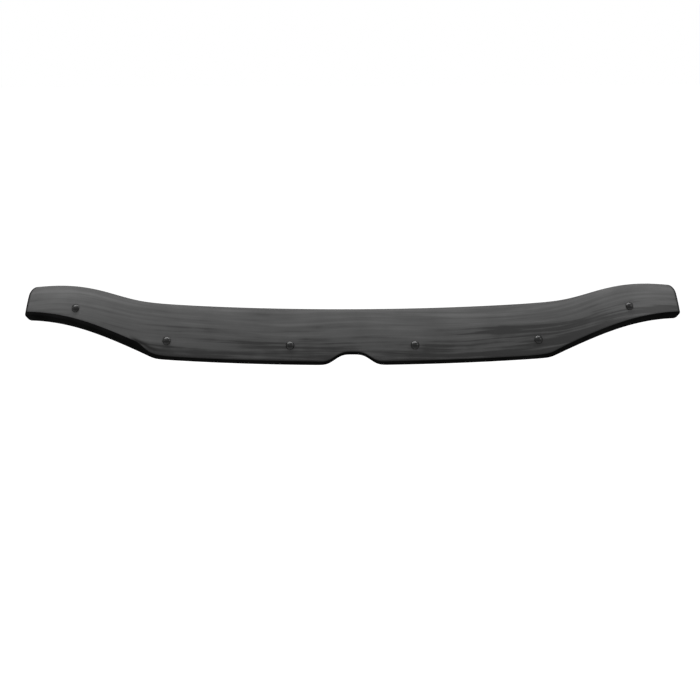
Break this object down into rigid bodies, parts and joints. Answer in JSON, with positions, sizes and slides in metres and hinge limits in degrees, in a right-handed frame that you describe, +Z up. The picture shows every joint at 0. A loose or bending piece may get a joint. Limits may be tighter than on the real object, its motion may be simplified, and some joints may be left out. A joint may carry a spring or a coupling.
{
  "type": "hood bug deflector",
  "caption": "Bowed smoke-tinted shield with a turned-under lip and a badge notch, screwed to folded steel hook clips that grip the front edge of a hood.",
  "frame": {"origin": "outside of the shield on the centre line, level with the edge of the lip beside the badge notch", "axes": "+X to the right seen from the front, -Y forwards, +Z up as fitted on the car"},
  "size_m": [1.4302, 0.1952, 0.1548],
  "materials": {
    "smoke_acrylic": "glossy, thermoformed",
    "black_nylon": "satin gloss",
    "black_steel": "black oxide",
    "rubber": "matt",
    "zinc_steel": "bright zinc plated"
  },
  "bodies": {
    "root": {"shield": "smoke_acrylic", "screw_cap_1": "black_nylon", "screw_1": "black_steel", "spacer_1": "rubber", "hook_clip_1": "zinc_steel", "jaw_pad_1": "rubber", "screw_cap_2": "black_nylon", "screw_2": "black_steel", "spacer_2": "rubber", "hook_clip_2": "zinc_steel", "jaw_pad_2": "rubber", "screw_cap_3": "black_nylon", "screw_3": "black_steel", "spacer_3": "rubber", "hook_clip_3": "zinc_steel", "jaw_pad_3": "rubber", "screw_cap_4": "black_nylon", "screw_4": "black_steel", "spacer_4": "rubber", "hook_clip_4": "zinc_steel", "jaw_pad_4": "rubber", "screw_cap_5": "black_nylon", "screw_5": "black_steel", "spacer_5": "rubber", "hook_clip_5": "zinc_steel", "jaw_pad_5": "rubber", "screw_cap_6": "black_nylon", "screw_6": "black_steel", "spacer_6": "rubber", "hook_clip_6": "zinc_steel", "jaw_pad_6": "rubber", "cup_washers": "black_nylon", "hex_nuts": "zinc_steel", "grub_screws": "black_steel", "square_nuts": "zinc_steel"}
  },
  "joints": []
}
